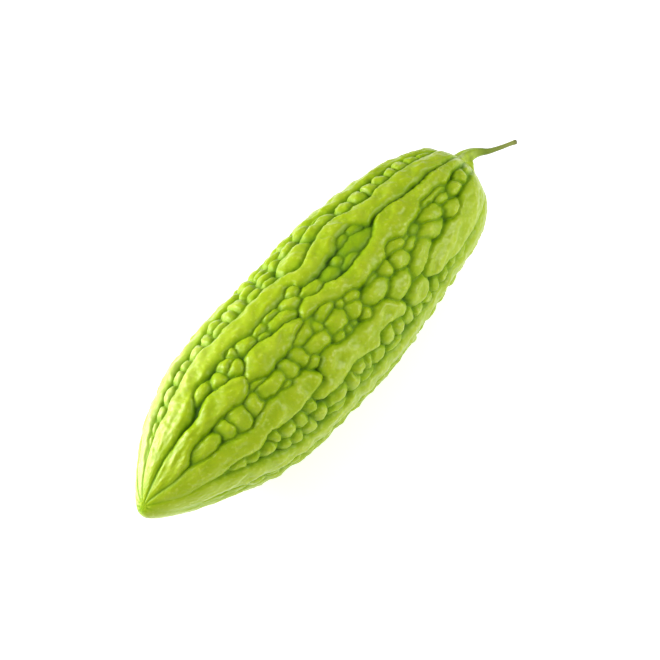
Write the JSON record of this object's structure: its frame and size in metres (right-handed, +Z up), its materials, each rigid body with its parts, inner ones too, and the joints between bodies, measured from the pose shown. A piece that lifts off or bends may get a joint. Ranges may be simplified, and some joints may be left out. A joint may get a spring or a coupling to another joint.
{
  "type": "bitter gourd",
  "caption": "Whole bitter gourd lying on its side: tapered green fruit with long ridges, warts crowded between them, and a short bent stalk.",
  "frame": {"origin": "centre of the bounding box in plan, on the surface that the fruit rests on", "axes": "+X from the blossom tip towards the stalk, +Z up, the flat spot down"},
  "size_m": [0.2469, 0.0743, 0.0728],
  "materials": {
    "skin": "waxy, half-gloss fruit skin",
    "stalk": "dull green stem"
  },
  "bodies": {
    "root": {"fruit": "skin", "stalk": "stalk"}
  },
  "joints": []
}
